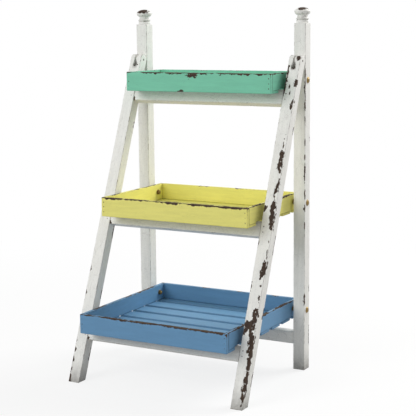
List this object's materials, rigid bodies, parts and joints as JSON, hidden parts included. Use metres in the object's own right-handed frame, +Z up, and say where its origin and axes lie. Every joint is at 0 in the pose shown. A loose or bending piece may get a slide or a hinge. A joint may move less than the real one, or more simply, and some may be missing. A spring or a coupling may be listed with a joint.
{
  "type": "plant stand",
  "caption": "Folding tiered plant stand of painted wood: leaning legs hinged to upright posts carry shallow slatted trays that deepen towards the floor and tip up on bolts.",
  "frame": {"origin": "middle of the stand's base, on the floor", "axes": "+X to the right of a person facing the trays, +Y towards the posts at the back, +Z up"},
  "size_m": [0.508, 0.408, 0.939],
  "materials": {
    "white_paint": "worn chalky off-white paint",
    "green_paint": "worn matt green paint",
    "yellow_paint": "worn matt yellow paint",
    "blue_paint": "worn matt blue paint",
    "brass": "satin",
    "steel": "dull, darkened"
  },
  "bodies": {
    "rear_frame": {"left_rear_post": "white_paint", "right_rear_post": "white_paint", "left_finial": "white_paint", "right_finial": "white_paint", "rear_rail": "white_paint", "left_hinge_tongue": "white_paint", "right_hinge_tongue": "white_paint", "tray_bolts": "brass", "tray_spacers": "brass", "tray_washers": "brass", "tray_nuts": "brass"},
    "front_frame": {"left_front_leg": "white_paint", "right_front_leg": "white_paint", "top_front_rail": "white_paint", "middle_front_rail": "white_paint", "bottom_front_rail": "white_paint", "hinge_pins": "steel", "rail_nails": "steel"},
    "top_tray": {"top_tray_front_board": "green_paint", "top_tray_back_board": "green_paint", "top_tray_left_side": "green_paint", "top_tray_right_side": "green_paint", "top_tray_slat_1": "green_paint", "top_tray_slat_2": "green_paint", "top_tray_slat_3": "green_paint", "top_tray_nails": "steel"},
    "middle_tray": {"middle_tray_front_board": "yellow_paint", "middle_tray_back_board": "yellow_paint", "middle_tray_left_side": "yellow_paint", "middle_tray_right_side": "yellow_paint", "middle_tray_slat_1": "yellow_paint", "middle_tray_slat_2": "yellow_paint", "middle_tray_slat_3": "yellow_paint", "middle_tray_slat_4": "yellow_paint", "middle_tray_slat_5": "yellow_paint", "middle_tray_nails": "steel"},
    "bottom_tray": {"bottom_tray_front_board": "blue_paint", "bottom_tray_back_board": "blue_paint", "bottom_tray_left_side": "blue_paint", "bottom_tray_right_side": "blue_paint", "bottom_tray_slat_1": "blue_paint", "bottom_tray_slat_2": "blue_paint", "bottom_tray_slat_3": "blue_paint", "bottom_tray_slat_4": "blue_paint", "bottom_tray_slat_5": "blue_paint", "bottom_tray_slat_6": "blue_paint", "bottom_tray_slat_7": "blue_paint", "bottom_tray_nails": "steel"}
  },
  "joints": [
    {"name": "front_frame_fold", "type": "hinge", "parent": "rear_frame", "child": "front_frame", "pos_m": [0, 0.13781, 0.806], "axis": [1, 0, 0], "range_deg": [0, 22]},
    {"name": "top_tray_tilt", "type": "hinge", "parent": "rear_frame", "child": "top_tray", "pos_m": [0, 0.17001, 0.757], "axis": [-1, 0, 0], "range_deg": [0, 60]},
    {"name": "middle_tray_tilt", "type": "hinge", "parent": "rear_frame", "child": "middle_tray", "pos_m": [0, 0.17001, 0.443], "axis": [-1, 0, 0], "range_deg": [0, 60]},
    {"name": "bottom_tray_tilt", "type": "hinge", "parent": "rear_frame", "child": "bottom_tray", "pos_m": [0, 0.17001, 0.16], "axis": [-1, 0, 0], "range_deg": [0, 38]}
  ]
}
